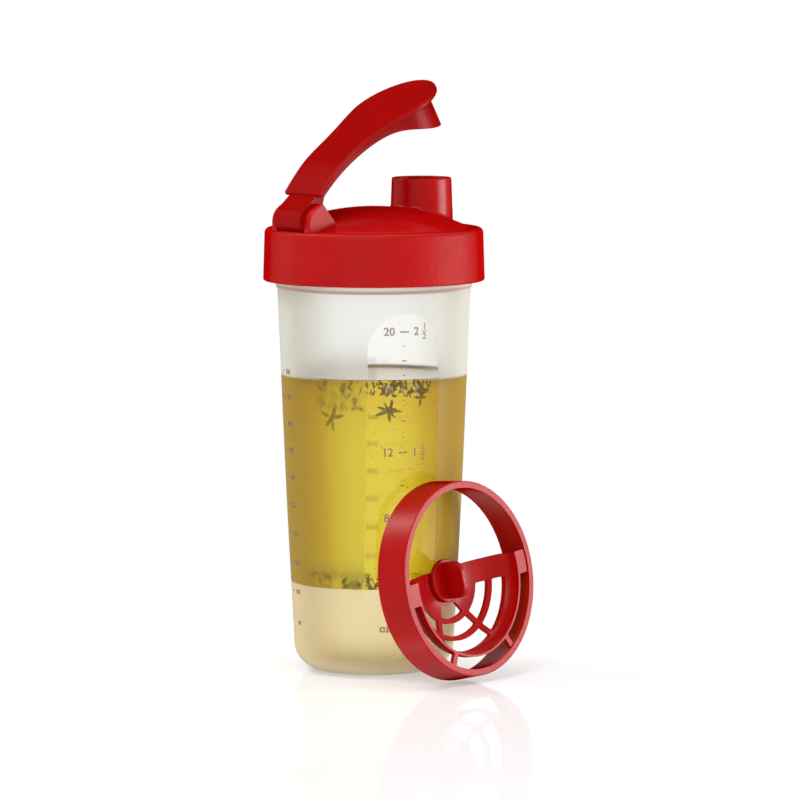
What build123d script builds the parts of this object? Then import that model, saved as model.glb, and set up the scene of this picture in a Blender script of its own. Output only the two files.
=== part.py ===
from build123d import *
import math
import os

# Shaker bottle for salad dressing, with its blending wheel lying against it.
# The bottle stands on the origin with its axis along Z. The screw lid carries a
# pouring spout and a flip cap, which is drawn partly open. The wheel, which in use
# sits on the ledge in the neck, leans on the outside of the bottle. Millimetres.

# Bottle body
foot_recess_inner_radius = 8.0
foot_rim_width = 3.2
foot_recess_depth = 0.5
base_radius = 34.2
base_corner_radius = 12.0
base_thickness = 2.2
waist_swell = 0.476
waist_z = 80.0
wall_sweep_reach = 34.5
body_top_radius = 41.9
body_top_z = 166.2
wall_thickness = 1.6
body_edge_round = 0.8

# Bottle shoulder and neck
shoulder_step = 0.6
shoulder_height = 0.9
collar_height = 2.6
collar_flare = 0.3
neck_taper_height = 1.8
neck_step = 2.9
neck_wall = 1.4
mouth_z = 188.6
mouth_round = 0.5
ledge_z = 171.9
ledge_width = 2.2
ledge_drop = 1.0
ledge_depth = 2.7

# Screw thread, the same helix on neck and lid
thread_starts = 3
thread_lead = 18.0
thread_depth = 0.8
thread_root_width = 2.2
thread_crest_width = 1.0
thread_embed = 0.4
neck_thread_z = 174.6
neck_thread_angle = 150.0
lid_thread_angle = 60.0
lid_thread_lag_angle = 60.0
thread_flank_gap = 0.3
thread_radial_gap = 0.3

# Lid
lid_heading = 37.0
skirt_z = 169.7
skirt_overhang = 3.3
skirt_taper = 0.7
skirt_foot_round = 0.9
skirt_top_round = 2.2
skirt_inner_round = 0.4
lid_top_thickness = 2.6
gasket_thickness = 1.3
gasket_inner_reach = 1.2
seal_gap = 0.1
gasket_boss_width = 1.2
gasket_boss_gap = 0.3
gasket_boss_reach = 0.3
dome_margin = 5.6
dome_rise = 9.1
dome_thickness = 1.8
groove_width = 0.6
groove_depth = 0.6
groove_slant = 0.2

# Spout
spout_inset = 15.9
spout_radius = 13.0
spout_foot_radius = 13.8
spout_bore_radius = 11.2
spout_z = 213.4
spout_lip_round = 0.7
spout_root_fillet = 1.2

# Hinge
hinge_inset = 6.4
hinge_z = 197.2
pin_radius = 1.6
pin_running_gap = 0.05
pin_end_gap = 0.2
pin_socket_depth = 2.9
pin_chamfer = 0.3
knuckle_radius = 5.8
knuckle_width = 19.0
knuckle_side_gap = 0.3
knuckle_relief = 0.35
ear_thickness = 3.9
ear_front_reach = 3.8
ear_brow_height = 3.4
ear_top_height = 7.7
ear_back_reach = 16.0
ear_crest_reach = 3.7
ear_front_round = 8.0
ear_crest_round = 0.9
ear_edge_round = 0.6
ear_root_depth = 2.4

# Flip cap, measured from the hinge pin with the cap closed
cap_open_angle = 28.0
cap_plate_thickness = 2.2
cap_edge_round = 0.7
cap_lip_radius = 21.2
cap_cup_radius = 16.8
cap_wall = 1.6
arm_half_width = 13.5
arm_lip = 1.1
spigot_radius = 5.0
spigot_height = 2.4
crown_line_shares = (
    (0.116, 0.454), (0.233, 0.64), (0.362, 0.80), (0.532, 0.905),
    (0.716, 0.968), (1.0, 1.0), (1.36, 1.02),
)
skirt_line_shares = (
    (1.36, 0.03), (1.21, 0.104), (1.123, 0.197), (0.988, 0.412), (0.839, 0.635),
    (0.70, 0.705), (0.507, 0.665), (0.30, 0.53), (0.135, 0.335),
)
arm_straight_share = 0.42
arm_swell_share = 0.70
arm_swell_width_share = 0.34
cap_tangent_angle = 105.0
web_top_angle = 105.0
web_foot_angle = -4.0
web_shares = ((0.124, 0.42), (0.20, 0.55), (0.19, 0.36))

# Spout plug, a soft disc with a shallow hollow boss
plug_flange_radius = 13.4
plug_flange_thickness = 0.8
plug_gap = 0.3
plug_top_radius = 10.5
plug_tip_radius = 9.8
plug_depth = 3.4
plug_tip_round = 0.5

# Blending wheel, from the back rim (large end) to the front rim
wheel_neck_gap = 0.3
wheel_taper = 1.2
wheel_height = 14.6
wheel_rim_width = 2.9
wheel_edge_round = 0.5
land_thickness = 1.8
land_recess = 0.6
bowl_inset = 9.2
mouth_lip_width = 1.0
bowl_depth = 14.4
bowl_flat_radius = 11.0
bowl_thickness = 1.5
bowl_line_shares = ((1.0, 0.0), (0.985, 0.24), (0.93, 0.47), (0.80, 0.68),
                    (0.60, 0.86), (0.43, 0.97))
crossbar_width = 9.8
spoke_width = 2.4
spoke_angles = (-60.0, -120.0)
slot_row_shares = ((0.571, 0.739), (0.801, 0.945))
window_row_shares = (0.329, 0.503)
slot_corner_round = 0.6
crossbar_roll_angle = 6.5

# Knob of the wheel
knob_radius = 9.3
knob_thickness = 2.2
knob_edge_round = 0.5
knob_stem_radius = 3.4
fin_length = 16.0
fin_height = 9.7
fin_thickness = 2.5
fin_corner_round = 4.6
fin_edge_round = 0.6

# Where the wheel leans on the bottle
wheel_heading = 41.3
wheel_lean_angle = 8.8
wheel_side_offset = -5.6
lean_gap = 0.3

# One overrun for every cut that passes right through
overrun = 1.0

# Sizes that follow from those above
foot_recess_outer_radius = base_radius - base_corner_radius - foot_rim_width
waist_radius = (base_radius + (body_top_radius - base_radius) * waist_z / body_top_z
                + waist_swell)
shoulder_radius = body_top_radius + shoulder_step
neck_radius = body_top_radius + neck_step
inner_top_radius = body_top_radius - wall_thickness
shoulder_z = body_top_z + shoulder_height
collar_z = shoulder_z + collar_height
neck_foot_z = collar_z + neck_taper_height
neck_bore_radius = neck_radius - neck_wall
ledge_radius = neck_bore_radius - ledge_width
lid_bore_radius = neck_radius + thread_depth + thread_radial_gap
skirt_foot_radius = neck_radius + skirt_overhang
lid_top_radius = skirt_foot_radius - skirt_taper
gasket_inner_radius = neck_bore_radius - gasket_inner_reach
dome_radius = lid_top_radius - dome_margin
spout_offset = dome_radius - spout_inset
hinge_radius = lid_top_radius - hinge_inset
lid_seat_z = mouth_z + seal_gap + gasket_thickness
lid_top_z = lid_seat_z + lid_top_thickness
dome_sphere_radius = (dome_radius**2 + dome_rise**2) / (2 * dome_rise)
dome_centre_z = lid_top_z + dome_rise - dome_sphere_radius
boss_radius = gasket_inner_radius - gasket_boss_gap
boss_inner_radius = boss_radius - gasket_boss_width
boss_z = mouth_z - gasket_boss_reach
knuckle_half = knuckle_width / 2
ear_inner = knuckle_half + knuckle_side_gap
spout_reach = hinge_radius + spout_offset
arm_start = crown_line_shares[0][0] * spout_reach
cap_rise = spout_z - hinge_z + plug_gap + plug_flange_thickness + cap_plate_thickness
wheel_back_radius = neck_bore_radius - wheel_neck_gap
wheel_front_radius = wheel_back_radius - wheel_taper
bowl_rim_radius = wheel_front_radius - bowl_inset
mouth_plane_z = wheel_height - land_recess


def turned(outline):
    """Solid of revolution about Z from a closed outline of (radius, height)."""
    return revolve(Plane.XZ * make_face(outline), Axis.Z)


def rounded(corners):
    """Closed outline through (across, up, corner radius) points."""
    points = [(across, up) for across, up, corner in corners]
    return FilletPolyline(*points, radius=[corner for across, up, corner in corners], close=True)


def side_slab(outline, half_width):
    """Slab of an outline drawn in (along, up), as wide on both sides of Y = 0."""
    return extrude(Plane.XZ * make_face(outline), amount=half_width, both=True)


def thread_ridge(radius_root, radius_crest, height, turn):
    """One ridge of the screw thread, from the X axis round by a turn in degrees."""
    path = Helix(thread_lead, thread_lead * turn / 360, radius_root).translate((0, 0, height))
    section_plane = Plane(origin=path @ 0, x_dir=(1, 0, 0), z_dir=path % 0)
    reach = radius_crest - radius_root
    section = make_face(Polyline(
        (0, -thread_root_width / 2), (reach, -thread_crest_width / 2),
        (reach, thread_crest_width / 2), (0, thread_root_width / 2), close=True))
    return sweep(section_plane * section, path=path, is_frenet=True)


def thread_set(ridge, start_angle):
    """The ridge repeated for every start of the thread."""
    return [Rot(0, 0, start_angle + 360 * k / thread_starts) * ridge for k in range(thread_starts)]


def sweep_radius():
    """Radius of the slow curve that joins the lower wall to the upper one."""
    lower = math.atan2(waist_radius - base_radius, waist_z)
    upper = math.atan2(body_top_radius - waist_radius, body_top_z - waist_z)
    return wall_sweep_reach / math.tan((lower - upper) / 2)


def make_bottle():
    sweep = sweep_radius()
    outline = rounded([
        (0, 0, 0),
        (foot_recess_inner_radius, 0, 0),
        (foot_recess_inner_radius + foot_recess_depth, foot_recess_depth, 0),
        (foot_recess_outer_radius - foot_recess_depth, foot_recess_depth, 0),
        (foot_recess_outer_radius, 0, 0),
        (base_radius, 0, base_corner_radius),
        (waist_radius, waist_z, sweep),
        (body_top_radius, body_top_z, body_edge_round),
        (shoulder_radius, shoulder_z, body_edge_round),
        (shoulder_radius + collar_flare, collar_z, body_edge_round),
        (neck_radius, neck_foot_z, body_edge_round),
        (neck_radius, mouth_z, mouth_round),
        (neck_bore_radius, mouth_z, mouth_round),
        (neck_bore_radius, ledge_z, mouth_round),
        (ledge_radius, ledge_z - ledge_drop, mouth_round),
        (ledge_radius, ledge_z - ledge_drop - ledge_depth, body_edge_round),
        (inner_top_radius, body_top_z, body_edge_round),
        (waist_radius - wall_thickness, waist_z, sweep),
        (base_radius - wall_thickness, base_thickness, base_corner_radius - base_thickness),
        (0, base_thickness, 0),
    ])
    body = turned(outline)
    ridge = thread_ridge(neck_radius - thread_embed, neck_radius + thread_depth,
                         neck_thread_z, neck_thread_angle)
    for one_start in thread_set(ridge, 0):
        body += one_start
    return body


def dome_height(radius, drop):
    """Height of the dome's surface, or of its underside at a given drop."""
    return dome_centre_z + math.sqrt((dome_sphere_radius - drop)**2 - radius**2)


def dome_arc(radius, drop):
    """Arc of the dome from the axis out to a radius."""
    return ThreePointArc((0, dome_height(0, drop)), (radius / 2, dome_height(radius / 2, drop)),
                         (radius, dome_height(radius, drop)))


def make_lid_shell():
    rim_corners = [
        (dome_radius, dome_height(dome_radius, 0), 0),
        (dome_radius + groove_slant, lid_top_z - groove_depth, 0),
        (dome_radius + groove_slant + groove_width, lid_top_z - groove_depth, 0),
        (dome_radius + 2 * groove_slant + groove_width, lid_top_z, groove_slant),
        (lid_top_radius, lid_top_z, skirt_top_round),
        (skirt_foot_radius, skirt_z, skirt_foot_round),
        (lid_bore_radius, skirt_z, skirt_inner_round),
        (lid_bore_radius, lid_seat_z, skirt_inner_round),
        (boss_radius, lid_seat_z, groove_slant),
        (boss_radius, boss_z, groove_slant),
        (boss_inner_radius, boss_z, groove_slant),
        (boss_inner_radius, dome_height(boss_inner_radius, dome_thickness), 0),
    ]
    rim = FilletPolyline(*[(across, up) for across, up, corner in rim_corners],
                         radius=[corner for across, up, corner in rim_corners[1:-1]])
    crown = dome_arc(dome_radius, 0)
    ceiling = dome_arc(boss_inner_radius, dome_thickness)
    centre = Line(ceiling @ 0, crown @ 0)
    return turned([crown, rim, ceiling, centre])


def make_lid_hollow():
    """The space under the dome, which ears and spout may not reach into."""
    ceiling = dome_arc(boss_inner_radius, dome_thickness)
    walls = Polyline(ceiling @ 1, (boss_inner_radius, skirt_z), (0, skirt_z), ceiling @ 0)
    return turned([ceiling, walls])


def make_ear():
    """One hinge ear, standing on the rim at the positive side of the knuckle."""
    foot_z = lid_top_z - ear_root_depth
    front = hinge_radius + ear_front_reach
    outline = rounded([
        (-front, foot_z, 0),
        (-front, hinge_z + ear_brow_height, ear_front_round),
        (-hinge_radius + ear_crest_reach, hinge_z + ear_top_height, ear_crest_round),
        (-hinge_radius + ear_back_reach, foot_z, 0),
    ])
    slab = extrude(Plane.XZ * make_face(outline), amount=-ear_thickness)
    ear = Pos(0, ear_inner, 0) * slab
    inside = Cylinder(lid_top_radius, spout_z, align=(Align.CENTER, Align.CENTER, Align.MIN))
    ear = ear & inside
    outer_edges = ear.faces().sort_by(Axis.Y)[-1].edges()
    free_edges = outer_edges.filter_by(lambda edge: edge.center().Z > foot_z + ear_root_depth)
    return fillet(free_edges, ear_edge_round)


def make_spout():
    """Tube of the spout, drawn on its own axis down to the lid's seat."""
    return turned(rounded([
        (spout_bore_radius, lid_seat_z, 0),
        (spout_foot_radius, lid_seat_z, 0),
        (spout_foot_radius, lid_top_z, 0),
        (spout_radius, spout_z, spout_lip_round),
        (spout_bore_radius, spout_z, spout_lip_round),
    ]))


def spout_root_edges(lid):
    """The closed line where the outside of the spout meets the dome."""
    edges = []
    for edge in lid.edges():
        box = edge.bounding_box()
        beside_spout = abs(edge.center().X - spout_offset) < spout_foot_radius
        as_wide = 2 * spout_radius < box.size.X < 2 * (spout_foot_radius + overrun)
        on_dome = lid_top_z < box.min.Z and box.max.Z < dome_height(0, 0)
        if beside_spout and as_wide and on_dome and edge.geom_type != GeomType.CIRCLE:
            edges.append(edge)
    return edges


def make_lid():
    hollow = make_lid_hollow()
    bore = Cylinder(spout_bore_radius, spout_z, align=(Align.CENTER, Align.CENTER, Align.MIN))
    shell = make_lid_shell() - Pos(spout_offset, 0, 0) * bore
    spout = Pos(spout_offset, 0, 0) * make_spout()
    lid = shell + (spout - hollow)
    lid = fillet(spout_root_edges(lid), spout_root_fillet)
    ear = make_ear() - hollow
    lid = lid + ear + mirror(ear, Plane.XZ)
    hinge = Pos(-hinge_radius, 0, hinge_z) * Rot(90, 0, 0)
    lid -= hinge * Cylinder(knuckle_radius + knuckle_relief, 2 * ear_inner)
    lid -= hinge * Cylinder(pin_radius + pin_running_gap, 2 * (ear_inner + pin_socket_depth))
    ridge = thread_ridge(lid_bore_radius + thread_embed, lid_bore_radius - thread_depth,
                         lid_thread_z(), lid_thread_angle)
    for one_start in thread_set(ridge, lid_thread_lag_angle):
        lid += one_start
    return Rot(0, 0, lid_heading) * lid


def lid_thread_z():
    """Start height of the lid's ridges, just under the neck's at the same angle."""
    climb = thread_lead * lid_thread_lag_angle / 360
    return neck_thread_z + climb - thread_root_width - thread_flank_gap


def make_gasket():
    outer = lid_bore_radius - skirt_inner_round
    return turned(rounded([
        (gasket_inner_radius, lid_seat_z, 0),
        (outer, lid_seat_z, 0),
        (outer, lid_seat_z - gasket_thickness, gasket_boss_gap),
        (gasket_inner_radius, lid_seat_z - gasket_thickness, gasket_boss_gap),
    ]))


def on_hinge(piece):
    """Put a piece of the closed cap on the lid's hinge, opened as it stands."""
    hinge = Rot(0, 0, lid_heading) * Pos(-hinge_radius, 0, hinge_z)
    return hinge * Rot(0, -cap_open_angle, 0) * piece


def cap_plan(half_width, end_radius, start):
    """Plan of the cap: a straight arm that swells into a round end over the spout."""
    straight_end = arm_straight_share * spout_reach
    angle = math.radians(cap_tangent_angle)
    touch = (spout_reach + end_radius * math.cos(angle), end_radius * math.sin(angle))
    swell = (arm_swell_share * spout_reach,
             half_width + arm_swell_width_share * (touch[1] - half_width))
    side = Line((start, half_width), (straight_end, half_width))
    flare = Spline((straight_end, half_width), swell, touch,
                   tangents=[(1, 0), (math.sin(angle), -math.cos(angle))])
    nose = ThreePointArc(touch, (spout_reach + end_radius, 0), (touch[0], -touch[1]))
    back = Line((start, -half_width), (start, half_width))
    return make_face([side, flare, nose, mirror(flare, Plane.XZ), mirror(side, Plane.XZ), back])


def cap_column(half_width, end_radius, start):
    """Upright column of the cap's plan, taller than the cap."""
    column = extrude(cap_plan(half_width, end_radius, start), amount=2 * cap_rise)
    return Pos(0, 0, -cap_rise / 2) * column


def cap_points(shares, drop=0):
    return [(along * spout_reach, up * cap_rise - drop) for along, up in shares]


def make_cap_plate():
    crown = Spline(*cap_points(crown_line_shares))
    under = Spline(*cap_points(crown_line_shares, cap_plate_thickness))
    outline = [crown, Line(crown @ 1, under @ 1), under, Line(under @ 0, crown @ 0)]
    slab = side_slab(outline, cap_lip_radius + overrun)
    plate = slab & cap_column(arm_half_width, cap_lip_radius, arm_start)
    return fillet(plate.edges(), cap_edge_round)


def make_cap_walls():
    crown = Spline(*cap_points(crown_line_shares, cap_plate_thickness / 2))
    skirt = Spline(*cap_points(skirt_line_shares))
    outline = [crown, Line(crown @ 1, skirt @ 0), skirt, Line(skirt @ 1, crown @ 0)]
    slab = side_slab(outline, cap_lip_radius)
    outer = cap_column(arm_half_width - arm_lip, cap_cup_radius, arm_start + arm_lip)
    inner = cap_column(arm_half_width - arm_lip - cap_wall, cap_cup_radius - cap_wall,
                       arm_start + arm_lip + cap_wall)
    return slab & (outer - inner)


def make_flip_cap():
    knuckle = Rot(90, 0, 0) * Cylinder(knuckle_radius, knuckle_width)
    web_top, web_join, web_under = cap_points(web_shares)
    top_angle = math.radians(web_top_angle)
    foot_angle = math.radians(web_foot_angle)
    top_touch = (knuckle_radius * math.cos(top_angle), knuckle_radius * math.sin(top_angle))
    foot_touch = (knuckle_radius * math.cos(foot_angle), knuckle_radius * math.sin(foot_angle))
    web = side_slab(Polyline((0, 0), top_touch, web_top, web_join, web_under, foot_touch,
                             close=True), knuckle_half)
    spigot_top = cap_rise - cap_plate_thickness / 2
    spigot_foot = cap_rise - cap_plate_thickness - spigot_height
    spigot = Pos(spout_reach, 0, spigot_foot) * Cylinder(
        spigot_radius, spigot_top - spigot_foot, align=(Align.CENTER, Align.CENTER, Align.MIN))
    cap = make_cap_plate() + make_cap_walls() + knuckle + web + spigot
    cap -= Rot(90, 0, 0) * Cylinder(pin_radius, knuckle_width + overrun)
    return on_hinge(cap)


def make_hinge_pin():
    length = 2 * (ear_inner + pin_socket_depth - pin_end_gap)
    pin = Rot(90, 0, 0) * Cylinder(pin_radius, length)
    return on_hinge(chamfer(pin.edges().filter_by(GeomType.CIRCLE), pin_chamfer))


def make_spout_plug():
    top = cap_rise - cap_plate_thickness
    flange_z = top - plug_flange_thickness
    tip_z = flange_z - plug_depth
    hollow_z = top - spigot_height
    outline = rounded([
        (0, tip_z, 0),
        (plug_tip_radius, tip_z, plug_tip_round),
        (plug_top_radius, flange_z, 0),
        (plug_flange_radius, flange_z, 0),
        (plug_flange_radius, top, 0),
        (spigot_radius, top, 0),
        (spigot_radius, hollow_z, 0),
        (0, hollow_z, 0),
    ])
    plug = Pos(spout_reach, 0, 0) * turned(outline) - make_cap_plate()
    return on_hinge(plug)


def body_radius_at(height):
    """Outer radius of the bottle's straight-sided upper or lower wall."""
    if height < waist_z:
        return base_radius + (waist_radius - base_radius) * height / waist_z
    climb = (height - waist_z) / (body_top_z - waist_z)
    return waist_radius + (body_top_radius - waist_radius) * climb


def wheel_plane():
    """Plane of the wheel's back rim, with the wheel standing and leaning."""
    heading = math.radians(wheel_heading)
    lean = math.radians(wheel_lean_angle)
    out = Vector(math.cos(heading), -math.sin(heading), 0)
    along = Vector(math.sin(heading), math.cos(heading), 0)
    normal = out * math.cos(lean) + Vector(0, 0, 1) * math.sin(lean)
    edge_radius = wheel_back_radius - wheel_edge_round
    centre_z = (edge_radius * math.cos(lean) - wheel_edge_round * math.sin(lean)
                + wheel_edge_round)
    top_z = centre_z + wheel_back_radius * math.cos(lean)
    distance = body_radius_at(top_z) + lean_gap + wheel_back_radius * math.sin(lean)
    centre = out * distance + along * wheel_side_offset + Vector(0, 0, centre_z)
    return Plane(origin=centre, x_dir=along, z_dir=normal)


def on_wheel(piece):
    """Put a piece drawn on the wheel's own axis where the wheel leans."""
    return wheel_plane().location * Rot(0, 0, crossbar_roll_angle) * piece


def ring_area(inner_radius, outer_radius):
    return Circle(outer_radius) - Circle(inner_radius)


def slot_row(shares):
    """Inner and outer radius of a row of gaps, from its shares of the bowl's mouth."""
    return [share * bowl_rim_radius for share in shares]


def slot_area(row):
    """Rounded gaps of one row between the crossbar and the spokes."""
    inner_radius, outer_radius = row
    half_side = 2 * wheel_back_radius
    area = ring_area(inner_radius, outer_radius)
    area -= Pos(0, half_side / 2 - crossbar_width / 2) * Rectangle(half_side, half_side)
    for angle in spoke_angles:
        area -= Rot(0, 0, angle) * Pos(half_side / 2, 0) * Rectangle(half_side, spoke_width)
    return fillet(area.vertices(), slot_corner_round)


def window_area():
    """The one gap beside the knob, between the two spokes."""
    middle = [face for face in slot_area(slot_row(window_row_shares)).faces()
              if abs(face.center().X) < spoke_width]
    return Sketch() + middle


def bowl_line(gap):
    """Line down the bowl's inside, or down its outside at a gap of one thickness."""
    points = [(along * (bowl_rim_radius + gap), mouth_plane_z - up * (bowl_depth + gap))
              for along, up in bowl_line_shares]
    return Spline(*points, (bowl_flat_radius, mouth_plane_z - bowl_depth - gap))


def make_bowl():
    """Dished web of the wheel, thin and even, before its gaps are cut."""
    front_line, back_line = bowl_line(0), bowl_line(bowl_thickness)
    floor_z = mouth_plane_z - bowl_depth
    centre = Polyline(front_line @ 1, (0, floor_z), (0, floor_z - bowl_thickness), back_line @ 1)
    rim = Line(front_line @ 0, back_line @ 0)
    return turned([front_line, centre, back_line, rim])


def make_blending_wheel():
    ring = turned(rounded([
        (wheel_back_radius, 0, wheel_edge_round),
        (wheel_front_radius, wheel_height, wheel_edge_round),
        (wheel_front_radius - wheel_rim_width, wheel_height, 0),
        (wheel_back_radius - wheel_rim_width, 0, wheel_edge_round),
    ]))
    land_inner = bowl_rim_radius + bowl_thickness / 2
    land_outer = wheel_front_radius - wheel_rim_width / 2
    land_z = mouth_plane_z - land_thickness
    outer_row = (bowl_rim_radius + mouth_lip_width,
                 wheel_front_radius - wheel_rim_width + slot_corner_round / 2)
    land = Pos(0, 0, land_z) * extrude(ring_area(land_inner, land_outer), amount=land_thickness)
    dish = make_bowl() + land
    side = 2 * wheel_back_radius
    away = Pos(0, crossbar_width / 2 + side / 2, 0) * Box(side, side, side)
    dish -= away
    gaps = slot_area(outer_row) + window_area()
    for shares in slot_row_shares:
        gaps += slot_area(slot_row(shares))
    dish -= extrude(gaps, amount=side / 2, both=True)
    dish -= Cylinder(knob_stem_radius, side)
    return on_wheel(ring + dish)


def make_wheel_knob():
    seat_z = mouth_plane_z - bowl_depth
    disc = turned(rounded([
        (0, seat_z - bowl_thickness, 0),
        (knob_stem_radius, seat_z - bowl_thickness, 0),
        (knob_stem_radius, seat_z, 0),
        (knob_radius, seat_z, knob_edge_round),
        (knob_radius, seat_z + knob_thickness, knob_edge_round),
        (0, seat_z + knob_thickness, 0),
    ]))
    fin_foot = seat_z + knob_thickness / 2
    fin_top = seat_z + knob_thickness + fin_height
    fin_outline = rounded([
        (-fin_length / 2, fin_foot, 0),
        (fin_length / 2, fin_foot, 0),
        (fin_length / 2, fin_top, fin_corner_round),
        (-fin_length / 2, fin_top, fin_corner_round),
    ])
    fin = side_slab(fin_outline, fin_thickness / 2)
    rim_edges = [edge for edge in fin.edges() if edge.center().Z > seat_z + knob_thickness
                 and abs(abs(edge.center().Y) - fin_thickness / 2) < fin_edge_round / 2]
    fin = Rot(0, 0, 90) * fillet(rim_edges, fin_edge_round)
    return on_wheel(disc + fin)


nodes = {
    "bottle": make_bottle,
    "lid": make_lid,
    "lid_gasket": make_gasket,
    "flip_cap": make_flip_cap,
    "hinge_pin": make_hinge_pin,
    "spout_plug": make_spout_plug,
    "blending_wheel": make_blending_wheel,
    "wheel_knob": make_wheel_knob,
}

os.makedirs("parts", exist_ok=True)
for name, make_piece in nodes.items():
    export_step(make_piece(), "parts/" + name + ".step")
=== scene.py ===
import math
import random

import bmesh
import bpy
from mathutils import Matrix, Vector


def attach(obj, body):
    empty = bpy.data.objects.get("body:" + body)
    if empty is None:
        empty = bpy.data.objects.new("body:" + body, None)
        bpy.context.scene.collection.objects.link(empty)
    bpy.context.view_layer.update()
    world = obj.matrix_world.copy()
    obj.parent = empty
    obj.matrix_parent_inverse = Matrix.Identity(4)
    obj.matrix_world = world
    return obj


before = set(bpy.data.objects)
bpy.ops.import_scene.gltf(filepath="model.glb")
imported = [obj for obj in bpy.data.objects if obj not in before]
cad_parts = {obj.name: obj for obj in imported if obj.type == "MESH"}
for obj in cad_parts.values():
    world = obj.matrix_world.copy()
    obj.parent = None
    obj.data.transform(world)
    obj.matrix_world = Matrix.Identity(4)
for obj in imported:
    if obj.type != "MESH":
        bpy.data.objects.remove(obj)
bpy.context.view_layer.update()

# Bottle: one thin-walled polypropylene moulding of about 600 ml. The mould's sandblasted
# wall leaves it frosted, but for one polished strip down the front with an arched top,
# where the level can be read. Beside the dressing, the milky wall is painted with the glow
# of the light that comes through the dressing.
FOOT_RADIUS, FOOT_CORNER, FLOOR_THICKNESS, WALL = 0.0342, 0.012, 0.0022, 0.0016
WAIST_RADIUS, WAIST_Z = 0.0384, 0.080
SHOULDER_RADIUS, SHOULDER_Z = 0.0419, 0.1662
WAIST_SWEEP, WAIST_EASE = 0.0345, 0.0001
STRIP_ANGLE = math.radians(20.0)
STRIP_HALF_WIDTH, STRIP_ARCH_Z, STRIP_FOOT_Z, STRIP_EDGE = 0.0162, 0.1418, 0.0340, 0.0004
STRIP_FADE, FOOT_FADE = 0.0090, 0.0070
OIL_TOP_Z, LAYER_Z, LEVEL_EDGE = 0.1290, 0.0387, 0.0008
# A line round the neck under the lid, painted with the red lid's reflection and the shade under
# its skirt.
REFLECTION_FOOT_Z, REFLECTION_TOP_Z, REFLECTION_EDGE = 0.1665, 0.1680, 0.0005
FROST, FROST_CHANGE, POLISH, POLISH_STEP = 0.36, 0.06, 0.09, 0.00012
WALL_IOR, SLANT_FROM, SLANT_SPAN = 1.38, 0.03, 0.16
MILKY_FROM, MILKY_SPAN, MILKY_SHARE = 0.12, 0.50, 0.62


class Flow:
    """A value on its way through a node tree: sums and products of it add Math nodes."""

    def __init__(self, tree, socket=None):
        self.tree = tree
        self.socket = socket

    def add(self, kind, inputs, output=0, **settings):
        """A new node with its settings, then the values or links of its sockets."""
        node = self.tree.nodes.new("ShaderNode" + kind)
        for setting, value in settings.items():
            setattr(node, setting, value)
        for name, value in inputs.items():
            if isinstance(value, Flow):
                self.tree.links.new(value.socket, node.inputs[name])
            else:
                node.inputs[name].default_value = value
        return Flow(self.tree, node.outputs[output] if node.outputs else None)

    def maths(self, operation, *values):
        """What a Math node makes of numbers and of values like this one."""
        return self.add("Math", dict(enumerate(values)), operation=operation)

    def __add__(self, other):
        return self.maths("ADD", self, other)

    def __sub__(self, other):
        return self.maths("SUBTRACT", self, other)

    def __rsub__(self, other):
        return self.maths("SUBTRACT", other, self)

    def __mul__(self, other):
        return self.maths("MULTIPLY", self, other)

    def __truediv__(self, other):
        return self.maths("DIVIDE", self, other)

    def __pow__(self, other):
        return self.maths("POWER", self, other)

    def __gt__(self, other):
        return self.maths("GREATER_THAN", self, other)

    def __lt__(self, other):
        return self.maths("LESS_THAN", self, other)

    __radd__ = __add__
    __rmul__ = __mul__

    def held(self):
        """The same value, kept from 0 to 1."""
        return self.add("Clamp", {"Value": self})

    def towards(self, start, end):
        """A colour from start to end, as far along as this value."""
        return self.add("Mix", {0: self, 6: start, 7: end}, output=2, data_type="RGBA")

    def part(self, axis):
        """One of a place's three numbers, by its axis."""
        return self.add("SeparateXYZ", {"Vector": self}, output=axis)


def screen_colour(red, green, blue):
    """A colour as a screen shows it, each part from 0 to 255, for a shader's socket."""
    linear = [((part / 255 + 0.055) / 1.055) ** 2.4 for part in (red, green, blue)]
    return (*linear, 1.0)


def new_finish(name):
    """An empty material, and the places on the object that its pattern is set out on."""
    material = bpy.data.materials.new(name)
    material.use_nodes = True
    material.node_tree.nodes.clear()
    flow = Flow(material.node_tree)
    return material, flow, flow.add("TexCoord", {}, output="Object")


def give_finish(piece, material):
    """The piece has this one material."""
    piece.data.materials.clear()
    piece.data.materials.append(material)


def wall_radius(height):
    """Outside radius of the bottle's body, which sweeps a little at the waist."""
    if height < WAIST_Z:
        radius = FOOT_RADIUS + (WAIST_RADIUS - FOOT_RADIUS) * height / WAIST_Z
    else:
        climb = (height - WAIST_Z) / (SHOULDER_Z - WAIST_Z)
        radius = WAIST_RADIUS + (SHOULDER_RADIUS - WAIST_RADIUS) * climb
    near_waist = max(0.0, 1 - abs(height - WAIST_Z) / WAIST_SWEEP)
    return radius - WAIST_EASE * near_waist ** 2


bottle_plastic, flow, place = new_finish("bottle_plastic")
on_strip = flow.add("Mapping", {"Vector": place, "Rotation": (0, 0, -STRIP_ANGLE)})
across, depth, height = [on_strip.part(axis) for axis in "XYZ"]
over_arch = flow.maths("MAXIMUM", height - STRIP_ARCH_Z, 0.0)
from_middle = (across * across + over_arch * over_arch) ** 0.5
strip = ((STRIP_HALF_WIDTH - from_middle) / STRIP_EDGE + 0.5).held()
strip = strip * (depth < 0.0) * ((height - STRIP_FOOT_Z) / STRIP_FADE).held()
cloud = flow.add("TexNoise", {"Vector": place, "Scale": 90.0, "Detail": 2.0})
rough = (FROST + FROST_CHANGE * cloud) * (1 - strip) + POLISH * strip
above_oil = ((height - OIL_TOP_Z) / LEVEL_EDGE + 0.5).held()
above_layer = ((height - LAYER_Z) / LEVEL_EDGE + 0.5).held()
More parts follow.
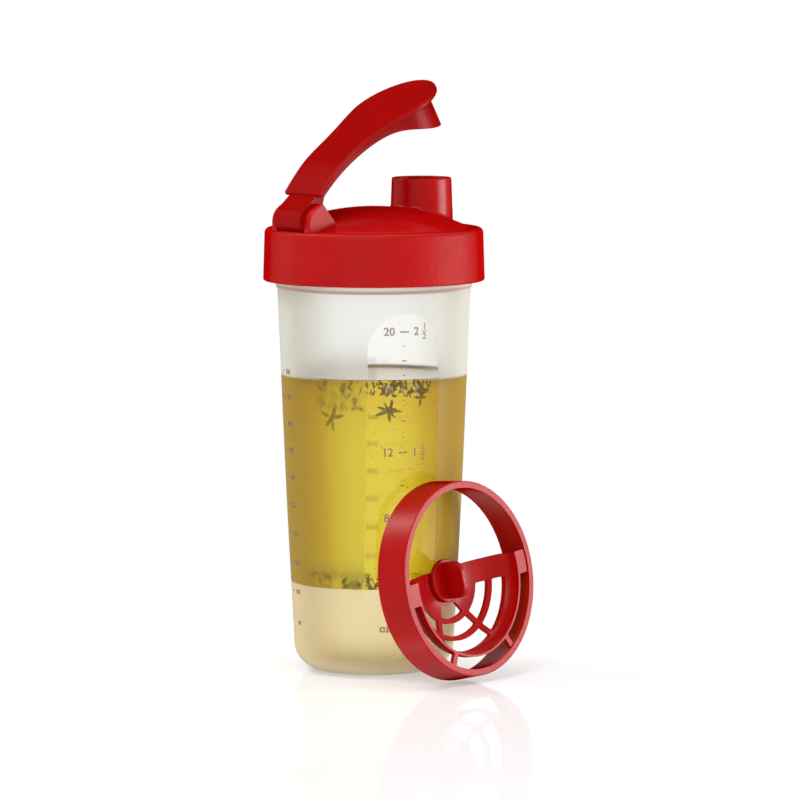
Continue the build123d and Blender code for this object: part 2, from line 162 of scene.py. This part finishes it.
# The line under the lid's skirt, where the lid's reflection and the shade under the skirt are
# painted.
lid_reflection_line = ((height - REFLECTION_FOOT_Z) / REFLECTION_EDGE + 0.5).held()
lid_reflection_line = lid_reflection_line * ((REFLECTION_TOP_Z - height) / REFLECTION_EDGE + 0.5).held()
polish = flow.add("Bump", {"Height": strip * -1.0, "Distance": POLISH_STEP, "Strength": 0.6})


def wall_colour(empty, beside_oil, beside_layer):
    """The wall's colour in air, the painted glow beside oil and layer, and the painted lid
    reflection and shade at the line.
    """
    filled = above_layer.towards(beside_layer, beside_oil)
    # On the line under the lid: a painted reflection of the red lid, with painted shade under
    # its skirt.
    return lid_reflection_line.towards(above_oil.towards(filled, empty), screen_colour(212, 174, 162))


# Beside the oil and the layer below, these tints are painted glow of the light that comes
# through the dressing.
thin, deep = [
    flow.add("BsdfPrincipled", {
        "Base Color": tint, "Roughness": rough, "IOR": WALL_IOR,
        "Transmission Weight": 0.98, "Normal": polish})
    for tint in (
        wall_colour(screen_colour(255, 255, 253), screen_colour(246, 235, 146),
                    screen_colour(255, 248, 226)),
        wall_colour(screen_colour(252, 252, 246), screen_colour(220, 196, 84),
                    screen_colour(252, 243, 218)))]
# The milky share's colour beside the dressing is painted glow too.
milky = flow.add("BsdfPrincipled", {
    "Base Color": wall_colour(screen_colour(216, 214, 200), screen_colour(174, 140, 38),
                              screen_colour(228, 208, 164)),
    "Roughness": 0.8, "IOR": WALL_IOR, "Specular IOR Level": 0.0, "Normal": polish})
facing = flow.add("LayerWeight", {"Blend": 0.5}, output="Facing")
slanted = ((facing - SLANT_FROM) / SLANT_SPAN).held()
clear_wall = flow.add("MixShader", {0: slanted, 1: thin, 2: deep})
shallow = ((facing - MILKY_FROM) / MILKY_SPAN).held() * (height / FOOT_FADE).held()
flow.add("OutputMaterial", {"Surface": flow.add("MixShader", {
    0: MILKY_SHARE * shallow, 1: clear_wall, 2: milky})})
give_finish(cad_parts["bottle"], bottle_plastic)

# Scale: thin grey ink printed on the outside of the wall. Ounces and cups run down the
# polished strip, and millilitres down the left side and the back. The film of ink is thin
# enough for the dressing's colour to come through, and thinnest on the back.
LEVELS = ((4, 0.0398), (8, 0.0698), (12, 0.0982), (16, 0.1254), (20, 0.1503))
UNIT_Z = 0.0217
DIGIT_SIZE, FRACTION_SIZE, MILLILITRE_SIZE = 0.0049, 0.0038, 0.0029
INK_FILM, INK_SINK = 0.00005, 0.00002
DASH_LENGTH, SHORT_DASH_LENGTH, DASH_WIDTH, DOT_WIDTH = 0.0040, 0.0018, 0.0007, 0.0006
NUMBER_ACROSS, DASH_ACROSS, CUPS_ACROSS, FRACTION_ACROSS = -0.0076, -0.0009, 0.0046, 0.0085
FRACTION_RISE, FRACTION_BAR, BAR_WIDTH = 0.0021, 0.0024, 0.0004
MILLILITRE_ACROSS, TICK_ACROSS, TICK_LENGTH = 0.0026, -0.0034, 0.0026
UNIT_INSET, LETTER_SWELL = 0.0014, 0.026
INK_COVER, BACK_INK_LOSS = 0.62, 0.30
OUNCE_ML = 29.57
SIDE_ANGLE, BACK_ANGLE = math.radians(-70.0), math.radians(178.0)


def level_height(ounces):
    """Height of the dressing's level at a fill, between the measured rows."""
    rows = list(zip(LEVELS, LEVELS[1:]))
    below = [row for row in rows if row[0][0] <= ounces] or rows[:1]
    (low, low_z), (high, high_z) = below[-1]
    return low_z + (high_z - low_z) * (ounces - low) / (high - low)


def lay_words(print_mesh, words, across, up, size):
    """Words as flat letters with the ink's thickness, their middle at this place."""
    curve = bpy.data.curves.new("letters", "FONT")
    curve.body, curve.size = words, size
    curve.align_x, curve.align_y = "CENTER", "CENTER"
    curve.extrude = (INK_FILM + INK_SINK) / 2
    curve.offset = LETTER_SWELL * size
    curve.resolution_u = 3
    letters = bpy.data.objects.new("letters", curve)
    mesh = bpy.data.meshes.new_from_object(letters)
    mesh.transform(Matrix.Translation((across, up, (INK_FILM - INK_SINK) / 2)))
    print_mesh.from_mesh(mesh)
    bpy.data.objects.remove(letters)
    bpy.data.curves.remove(curve)
    bpy.data.meshes.remove(mesh)


def lay_bar(print_mesh, across, up, length, width):
    """A dash or a dot of ink."""
    place = (Matrix.Translation((across, up, (INK_FILM - INK_SINK) / 2))
             @ Matrix.Diagonal((length, width, INK_FILM + INK_SINK, 1)))
    bmesh.ops.create_cube(print_mesh, size=1.0, matrix=place)


def wrap_on_wall(print_mesh, angle):
    """Bend the flat print round the bottle, its middle at this angle from the front."""
    for point in print_mesh.verts:
        across, up, lift = point.co
        radius = wall_radius(up) + lift
        turn = angle + across / wall_radius(up)
        point.co = (radius * math.sin(turn), -radius * math.cos(turn), up)


def new_piece(name, shape, finish):
    """A piece made from a bmesh, with its one material."""
    mesh = bpy.data.meshes.new(name)
    shape.to_mesh(mesh)
    shape.free()
    piece = bpy.data.objects.new(name, mesh)
    bpy.context.scene.collection.objects.link(piece)
    give_finish(piece, finish)
    return piece


def print_scale(name, angle, lay):
    """One printed column as a piece that rides on the bottle."""
    print_mesh = bmesh.new()
    lay(print_mesh)
    wrap_on_wall(print_mesh, angle)
    piece = new_piece(name, print_mesh, scale_ink)
    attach(piece, "bottle")


def lay_ounces(print_mesh):
    """Ounces and cups side by side, and dots and short dashes between their rows."""
    cups = {4: ("", "1", "2"), 8: ("1", "", ""), 12: ("1", "1", "2"), 16: ("2", "", ""),
            20: ("2", "1", "2")}
    for ounces, (whole, top, bottom) in cups.items():
        up = level_height(ounces)
        lay_words(print_mesh, str(ounces), NUMBER_ACROSS, up, DIGIT_SIZE)
        lay_bar(print_mesh, DASH_ACROSS, up, DASH_LENGTH, DASH_WIDTH)
        if whole:
            lay_words(print_mesh, whole, CUPS_ACROSS, up, DIGIT_SIZE)
        if top:
            beside = FRACTION_ACROSS if whole else CUPS_ACROSS
            lay_words(print_mesh, top, beside, up + FRACTION_RISE, FRACTION_SIZE)
            lay_bar(print_mesh, beside, up, FRACTION_BAR, BAR_WIDTH)
            lay_words(print_mesh, bottom, beside, up - FRACTION_RISE, FRACTION_SIZE)
    for ounces in range(3, 20):
        if ounces % 4:
            length = DOT_WIDTH if ounces % 2 else SHORT_DASH_LENGTH
            lay_bar(print_mesh, DASH_ACROSS, level_height(ounces), length, DOT_WIDTH)
    lay_words(print_mesh, "oz", NUMBER_ACROSS, UNIT_Z, DIGIT_SIZE)
    lay_words(print_mesh, "cup", FRACTION_ACROSS - UNIT_INSET, UNIT_Z, DIGIT_SIZE)


def lay_millilitres(print_mesh):
    """Every 50 millilitres, with a tick beside each."""
    for amount in range(100, 501, 50):
        up = level_height(amount / OUNCE_ML)
        lay_words(print_mesh, str(amount), MILLILITRE_ACROSS, up, MILLILITRE_SIZE)
        lay_bar(print_mesh, TICK_ACROSS, up, TICK_LENGTH, BAR_WIDTH)
    lay_words(print_mesh, "ml", MILLILITRE_ACROSS, UNIT_Z, MILLILITRE_SIZE)


scale_ink, flow, place = new_finish("scale_print")
patchy = flow.add("TexNoise", {"Vector": place, "Scale": 2500.0, "Detail": 2.0})
ink = patchy.towards(screen_colour(130, 108, 100), screen_colour(158, 138, 130))
flow.add("OutputMaterial", {"Surface": flow.add("BsdfPrincipled", {
    "Base Color": ink, "Roughness": 0.6, "IOR": 1.45, "Specular IOR Level": 0.2,
    "Alpha": INK_COVER - BACK_INK_LOSS * (place.part("Y") > 0.0)})})
print_scale("scale_ounces", STRIP_ANGLE, lay_ounces)
print_scale("scale_millilitres_side", SIDE_ANGLE, lay_millilitres)
print_scale("scale_millilitres_back", BACK_ANGLE, lay_millilitres)

# Dressing: golden oil floats on a paler, cloudy vinegar layer, and both fill the bottle
# to its wall. The oil's surface climbs a little at the wall, and bits of herb hang in it.
LAYER_OVERLAP, WALL_OVERLAP = 0.00005, 0.00005
MENISCUS_RISE, MENISCUS_WIDTH = 0.0012, 0.0026
MENISCUS_SHARES = (0.15, 0.35, 0.6, 0.8, 1.0)
CORNER_STEPS, LOWER_STEPS, OIL_STEPS, TURN_STEPS = 8, 6, 16, 128
CORNER_GAP = 0.002
DARK_OIL_Z, DARK_OIL_SPAN, MURK_SWAY = 0.104, 0.026, 0.012
SETTLED_Z, SETTLED_SPAN, SWIRL_SWAY = 0.004, 0.030, 0.3


def fill_radius(height):
    """Radius of the liquid, just inside the wall's inner surface."""
    return wall_radius(height) - WALL + WALL_OVERLAP


def layer_edge(low, high, steps):
    """Points up the side of a layer of liquid."""
    heights = [low + (high - low) * step / steps for step in range(steps + 1)]
    return [Vector((fill_radius(height), 0, height)) for height in heights]


def close_shape(shape):
    """All faces point outwards and are shaded smooth."""
    bmesh.ops.recalc_face_normals(shape, faces=shape.faces)
    for face in shape.faces:
        face.smooth = True


def spin_layer(name, outline, finish):
    """A layer of liquid as a closed turned piece that rides on the bottle."""
    layer = bmesh.new()
    points = [layer.verts.new(point) for point in outline]
    edges = [layer.edges.new(pair) for pair in zip(points, points[1:])]
    bmesh.ops.spin(layer, geom=points + edges, axis=(0, 0, 1), cent=(0, 0, 0),
                   angle=math.tau, steps=TURN_STEPS, use_merge=True)
    bmesh.ops.remove_doubles(layer, verts=layer.verts, dist=1e-6)
    close_shape(layer)
    piece = new_piece(name, layer, finish)
    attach(piece, "bottle")


oil_finish, flow, place = new_finish("dressing_oil")
height = place.part("Z")
murk = flow.add("TexNoise", {"Vector": place, "Scale": 45.0, "Detail": 3.0})
near_top = ((height - DARK_OIL_Z + MURK_SWAY * (murk - 0.5)) / DARK_OIL_SPAN).held()
oil_colour = near_top.towards(screen_colour(250, 247, 182), screen_colour(236, 216, 148))
flow.add("OutputMaterial", {"Surface": flow.add("BsdfPrincipled", {
    "Base Color": oil_colour, "Roughness": 0.0, "IOR": 1.36, "Transmission Weight": 1.0})})

base_finish, flow, place = new_finish("dressing_base")
height = place.part("Z")
swirl = flow.add("TexNoise", {"Vector": place, "Scale": 60.0, "Detail": 4.0, "Distortion": 0.6})
settled = (1 - (height - SETTLED_Z) / SETTLED_SPAN + SWIRL_SWAY * (swirl - 0.5)).held()
base_colour = settled.towards(screen_colour(255, 251, 234), screen_colour(255, 246, 212))
flow.add("OutputMaterial", {"Surface": flow.add("BsdfPrincipled", {
    "Base Color": base_colour, "Roughness": 0.34, "IOR": 1.06, "Transmission Weight": 0.94})})

bend = FOOT_CORNER - FLOOR_THICKNESS
foot_radius = fill_radius(FLOOR_THICKNESS)
foot_turn = [
    Vector((foot_radius - bend + bend * math.sin(turn), 0,
            FLOOR_THICKNESS - WALL_OVERLAP + bend * (1 - math.cos(turn))))
    for turn in (math.pi / 2 * step / CORNER_STEPS for step in range(CORNER_STEPS + 1))]
spin_layer("dressing_lower_layer", [
    Vector((0, 0, FLOOR_THICKNESS - WALL_OVERLAP)), *foot_turn,
    *layer_edge(FOOT_CORNER + CORNER_GAP, LAYER_Z, LOWER_STEPS),
    Vector((0, 0, LAYER_Z))], base_finish)
meniscus = [
    Vector((fill_radius(OIL_TOP_Z) - MENISCUS_WIDTH * share, 0,
            OIL_TOP_Z + MENISCUS_RISE * ((1 - share) ** 2 - 0.5)))
    for share in MENISCUS_SHARES]
spin_layer("dressing_oil_layer", [
    Vector((0, 0, LAYER_Z - LAYER_OVERLAP)),
    *layer_edge(LAYER_Z - LAYER_OVERLAP, OIL_TOP_Z + MENISCUS_RISE / 2, OIL_STEPS),
    *meniscus, Vector((0, 0, OIL_TOP_Z - MENISCUS_RISE / 2))], oil_finish)

# Herbs: dried leaves cut small, olive green and thin enough for the oil to glow through.
# Most leaves hang under its surface, the rest lie on the layer below, and specks of them
# drift all through.
LEAF_WIDTH, LEAF_THICKNESS = 0.0022, 0.00022
LEAF_TAPER, LEAF_CURL = 0.8, 0.125
LENGTH_SHARES, WIDTH_SHARES, LEAF_SWAY = (0.5, 1.3), (0.25, 0.5), 0.6
SPRIG_LENGTH_SHARES, SPRIG_WIDTH_SHARES, SPRIG_SWAY = (0.7, 1.15), (0.5, 0.9), 0.35
STEM_SHARE = 0.4
# Loose leaves: how many, angles from the front, insets from the wall, heights and size.
LEAVES_UNDER_TOP = (
    (46, (-0.02, 0.75), (0.0006, 0.004), (0.1235, 0.1278), 0.0022),
    (16, (-0.75, 0.0), (0.0006, 0.004), (0.1225, 0.1276), 0.0026),
    (56, (-0.80, -0.1), (0.0040, 0.012), (0.1160, 0.1272), 0.0028),
    (40, (0.05, 0.62), (0.0006, 0.003), (0.1225, 0.1280), 0.0036),
    (60, (0.8, 5.4), (0.0006, 0.014), (0.1235, 0.1278), 0.0024),
)
# Sprigs: angle, inset, height, number of leaves and their size.
SPRIGS = (
    (0.17, 0.0014, 0.1160, 7, 0.0062),
    (0.20, 0.0020, 0.1172, 4, 0.0044),
    (-0.52, 0.0032, 0.1127, 5, 0.0066),
    (0.56, 0.0012, 0.1215, 4, 0.0042),
)
LEAVES_ON_LAYER = (
    (60, (-0.45, 0.1), (0.0008, 0.010), (0.0392, 0.0432), 0.0026),
    (16, (-0.95, -0.6), (0.0008, 0.006), (0.0392, 0.0450), 0.0030),
    (90, (0.2, 5.2), (0.0010, 0.020), (0.0392, 0.0415), 0.0024),
)
SPECKS = (
    (150, (-0.6, 1.1), (0.0006, 0.006), (0.045, 0.122), 0.00072),
    (260, (0.0, math.tau), (0.0006, 0.016), (0.045, 0.122), 0.00081),
    (26, (-1.0, 0.9), (0.0004, 0.002), (0.006, 0.037), 0.00090),
)
draw = random.Random(11)


def herb_place(angle, inset, height):
    """A place in the dressing, so far in from the wall."""
    radius = fill_radius(height) - inset
    return Vector((radius * math.sin(angle), -radius * math.cos(angle), height))


def add_leaf(herbs, place, facing, spin, length, width):
    """One leaf, a thin pointed lens that faces outwards from the bottle's axis."""
    leaf = bmesh.new()
    bmesh.ops.create_uvsphere(leaf, u_segments=8, v_segments=5, radius=0.5)
    turn = (Matrix.Translation(place) @ Matrix.Rotation(facing, 4, "Z")
            @ Matrix.Rotation(math.pi / 2, 4, "X") @ Matrix.Rotation(spin, 4, "Z"))
    for point in leaf.verts:
        along, aside, lift = point.co
        aside *= 1 - LEAF_TAPER * abs(along)
        curl = LEAF_CURL * along * along
        point.co = turn @ Vector((along * length, aside * width,
                                  lift * LEAF_THICKNESS - curl * length))
    leaf.to_mesh(one_leaf)
    leaf.free()
    herbs.from_mesh(one_leaf)


def add_sprig(herbs, angle, inset, height, leaves, size):
    """Leaves that spread from one stem."""
    middle = herb_place(angle, inset, height)
    for leaf in range(leaves):
        spin = math.tau * leaf / leaves + draw.uniform(-SPRIG_SWAY, SPRIG_SWAY)
        length = size * draw.uniform(*SPRIG_LENGTH_SHARES)
        reach = Matrix.Rotation(angle, 3, "Z") @ Vector((math.cos(spin), 0, math.sin(spin)))
        add_leaf(herbs, middle + reach * length * STEM_SHARE, angle, spin, length,
                 LEAF_WIDTH * draw.uniform(*SPRIG_WIDTH_SHARES))


def scatter(herbs, count, angles, insets, heights, size):
    """Loose leaves of one size in a part of the dressing."""
    for _ in range(count):
        angle = draw.uniform(*angles)
        place = herb_place(angle, draw.uniform(*insets), draw.uniform(*heights))
        length = size * draw.uniform(*LENGTH_SHARES)
        facing = angle + draw.uniform(-LEAF_SWAY, LEAF_SWAY)
        spin = draw.uniform(0, math.pi)
        add_leaf(herbs, place, facing, spin, length, length * draw.uniform(*WIDTH_SHARES))


herbs, one_leaf = bmesh.new(), bpy.data.meshes.new("leaf")
for patch in LEAVES_UNDER_TOP:
    scatter(herbs, *patch)
for sprig in SPRIGS:
    add_sprig(herbs, *sprig)
for patch in LEAVES_ON_LAYER + SPECKS:
    scatter(herbs, *patch)
close_shape(herbs)
bpy.data.meshes.remove(one_leaf)
herb_finish, flow, place = new_finish("herbs")
mottle = flow.add("TexNoise", {"Vector": place, "Scale": 900.0, "Detail": 3.0})
herb_colour = mottle.towards(screen_colour(138, 124, 46), screen_colour(184, 168, 82))
flow.add("OutputMaterial", {"Surface": flow.add("BsdfPrincipled", {
    "Base Color": herb_colour, "Roughness": 0.6, "IOR": 1.45, "Alpha": 0.60})})
herb_piece = new_piece("herbs", herbs, herb_finish)
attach(herb_piece, "bottle")

# Lid: one red polypropylene moulding that screws on the neck. The skirt and the flat rim
# have a fine spark-eroded grain for grip, and the dome, ears and spout are polished.
RED, DEEP_RED = screen_colour(172, 8, 8), screen_colour(158, 5, 5)
LID_TOP_Z, RIM_BAND, GLOSS, MATT_SPAN = 0.1926, 0.0006, 0.24, 0.30
UNEVEN_GLOSS, UNEVEN_RELIEF = 0.08, 0.04


def red_plastic(name, grained, tones=(DEEP_RED, RED), grain_depth=0.00030, satin=0.42,
                shine=0.12, matt_from=0.38):
    """Red moulded plastic, grained where the mask says, and matt at a shallow angle."""
    material, flow, place = new_finish(name)
    mask = grained(flow, place)
    grain = flow.add("TexNoise", {"Vector": place, "Scale": 1000.0, "Detail": 2.0,
                                  "Roughness": 0.6})
    marks = flow.add("TexNoise", {"Vector": place, "Scale": 38.0, "Detail": 3.0,
                                  "Distortion": 1.2})
    uneven = flow.add("TexNoise", {"Vector": place, "Scale": 220.0, "Detail": 2.0})
    rough = GLOSS + (satin - GLOSS) * mask + UNEVEN_GLOSS * (uneven - 0.5)
    relief = grain * mask + UNEVEN_RELIEF * uneven
    bump = flow.add("Bump", {"Height": relief, "Distance": grain_depth, "Strength": 1.0})
    satin_red, matt_red = [
        flow.add("BsdfPrincipled", {
            "Base Color": marks.towards(*tones), "Roughness": rough, "IOR": 1.5,
            "Specular IOR Level": level, "Normal": bump})
        for level in (shine, 0.0)]
    facing = flow.add("LayerWeight", {"Blend": 0.5}, output="Facing")
    shallow = ((facing - matt_from) / MATT_SPAN).held()
    flow.add("OutputMaterial", {"Surface": flow.add("MixShader", {
        0: shallow, 1: satin_red, 2: matt_red})})
    return material


def below_dome(flow, place):
    """1 on the skirt and the flat rim, and 0 from the dome up."""
    return 1 - ((place.part("Z") - LID_TOP_Z - RIM_BAND / 2) / RIM_BAND + 0.5).held()


give_finish(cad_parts["lid"], red_plastic("lid_red", below_dome))

# Flip cap: a red arm that swells into a cup over the spout, one moulding with its hinge
# knuckle. Its outside has the same fine grain, a little smoother, and no paint.
CAP_RED, CAP_SHADE = screen_colour(148, 10, 9), screen_colour(131, 7, 6)


def all_over(share):
    """A mask of one even value over the whole piece."""
    return lambda flow, place: flow.add("Clamp", {"Value": share})


give_finish(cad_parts["flip_cap"], red_plastic(
    "cap_red", all_over(0.5), (CAP_SHADE, CAP_RED), grain_depth=0.00010, shine=0.07,
    matt_from=0.26))

# Hinge pin, gasket and plug: a plain red pin in blind holes of the ears, and two soft
# seals of translucent silicone rubber, on the bottle's rim and in the cap's cup.
give_finish(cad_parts["hinge_pin"], red_plastic("pin_red", all_over(0.1)))
silicone, flow, place = new_finish("seal_soft")
bloom = flow.add("TexNoise", {"Vector": place, "Scale": 150.0, "Detail": 3.0})
seal_colour = bloom.towards(screen_colour(222, 220, 212), screen_colour(238, 236, 230))
flow.add("OutputMaterial", {"Surface": flow.add("BsdfPrincipled", {
    "Base Color": seal_colour, "Roughness": 0.45 + 0.1 * bloom, "IOR": 1.41,
    "Transmission Weight": 0.15})})
give_finish(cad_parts["lid_gasket"], silicone)
give_finish(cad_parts["spout_plug"], silicone)

# Blending wheel and knob: a red ring with a half bowl of curved bars, which breaks the oil
# up as the bottle is shaken, and the finger knob snapped into its middle.
WHEEL_RED, WHEEL_SHADE = screen_colour(165, 5, 5), screen_colour(151, 3, 3)
give_finish(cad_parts["blending_wheel"], red_plastic(
    "wheel_red", all_over(0.45), (WHEEL_SHADE, WHEEL_RED), grain_depth=0.00003, satin=0.36,
    shine=0.13, matt_from=0.54))
give_finish(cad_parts["wheel_knob"], red_plastic(
    "knob_red", all_over(0.3), (WHEEL_SHADE, WHEEL_RED), grain_depth=0.00006))

# Floor: a flat white sheet. Near the object it is faintly glossy and takes the soft shadow.
# Further off it is plain white to the eye and in what glossy and clear things show.
FLOOR_REACH, FLOOR_DROP = 25.0, 0.0002
SHADOW_REACH, SHADOW_FADE, FLOOR_GLOSS = 0.16, 0.30, 0.22
NEAR_WHITE, NEAR_SHADE = 0.94, 0.48


def seen_directly(flow):
    """1 for what the camera, a reflection or a clear piece shows, and 0 for plain light."""
    seen = [flow.add("LightPath", {}, output=ray) for ray in
            ("Is Camera Ray", "Is Glossy Ray", "Is Transmission Ray")]
    return (seen[0] + seen[1] + seen[2]).held()


sheet = bmesh.new()
bmesh.ops.create_grid(sheet, x_segments=2, y_segments=2, size=FLOOR_REACH,
                      matrix=Matrix.Translation((0, 0, -FLOOR_DROP)))
floor_white, flow, place = new_finish("floor_white")
across, depth = place.part("X"), place.part("Y")
away = (across * across + depth * depth) ** 0.5
open_floor = ((away - SHADOW_REACH) / SHADOW_FADE).held()
matt = flow.add("BsdfDiffuse", {"Color": (0.98, 0.98, 0.98, 1)})
gloss = flow.add("BsdfGlossy", {"Color": (1, 1, 1, 1), "Roughness": 0.06})
plain_white = flow.add("Emission", {"Color": (1, 1, 1, 1), "Strength": 1.0})
to_camera = flow.add("LightPath", {}, output="Is Camera Ray")
near_share = NEAR_WHITE - NEAR_SHADE * to_camera
share = seen_directly(flow) * (near_share + (1 - near_share) * open_floor)
ground = flow.add("MixShader", {0: share, 1: matt, 2: plain_white})
flow.add("OutputMaterial", {"Surface": flow.add("MixShader", {
    0: FLOOR_GLOSS * (1 - open_floor), 1: ground, 2: gloss})})
floor = new_piece("floor", sheet, floor_white)

# Light: a low soft box on the right, one high on the left and one overhead, a fill in
# front, and an even white room around.
ROOM_LIGHT = 0.45
world = bpy.data.worlds.new("room")
bpy.context.scene.world = world
world.use_nodes = True
world.node_tree.nodes.clear()
flow = Flow(world.node_tree)
room = flow.add("Background", {"Color": (1, 1, 1, 1),
                               "Strength": ROOM_LIGHT + (1 - ROOM_LIGHT) * seen_directly(flow)})
flow.add("OutputWorld", {"Surface": room})


def soft_box(name, place, aim, width, tall, power):
    """An area lamp that shines from a place to a point."""
    lamp = bpy.data.lights.new(name, "AREA")
    lamp.shape, lamp.size, lamp.size_y, lamp.energy = "RECTANGLE", width, tall, power
    box = bpy.data.objects.new(name, lamp)
    bpy.context.scene.collection.objects.link(box)
    box.location = place
    box.rotation_euler = (Vector(aim) - Vector(place)).to_track_quat("-Z", "Y").to_euler()
    box.visible_camera = False
    box.visible_transmission = False


soft_box("soft_box_right", (1.30, -0.10, 0.20), (0, 0, 0.12), 0.80, 0.30, 11.0)
soft_box("soft_box_left", (-0.86, 0.20, 1.20), (0, 0, 0.12), 0.50, 0.50, 8.0)
soft_box("soft_box_top", (0.10, -0.15, 1.40), (0, 0, 0.12), 0.70, 0.70, 6.0)
soft_box("soft_box_front", (-0.35, -1.45, 0.95), (0, 0, 0.10), 0.9, 0.9, 12.0)

# Camera: a long lens that looks down by a few degrees, as the photograph was taken, at
# the scale that its picture has at the bottle.
ELEVATION, DISTANCE, PIXELS_PER_METRE, PICTURE = math.radians(5.5), 2.5, 2300.0, 800
AIM = Vector((0.0113, 0.0, 0.1173))
lens = bpy.data.cameras.new("camera")
lens.sensor_width = 36.0
lens.lens = lens.sensor_width * PIXELS_PER_METRE * DISTANCE / PICTURE
lens.clip_start, lens.clip_end = 0.1, 100.0
camera = bpy.data.objects.new("camera", lens)
bpy.context.scene.collection.objects.link(camera)
camera.location = AIM + DISTANCE * Vector((0, -math.cos(ELEVATION), math.sin(ELEVATION)))
camera.rotation_euler = (math.pi / 2 - ELEVATION, 0, 0)
bpy.context.scene.camera = camera
bpy.context.scene.view_settings.view_transform = "Standard"
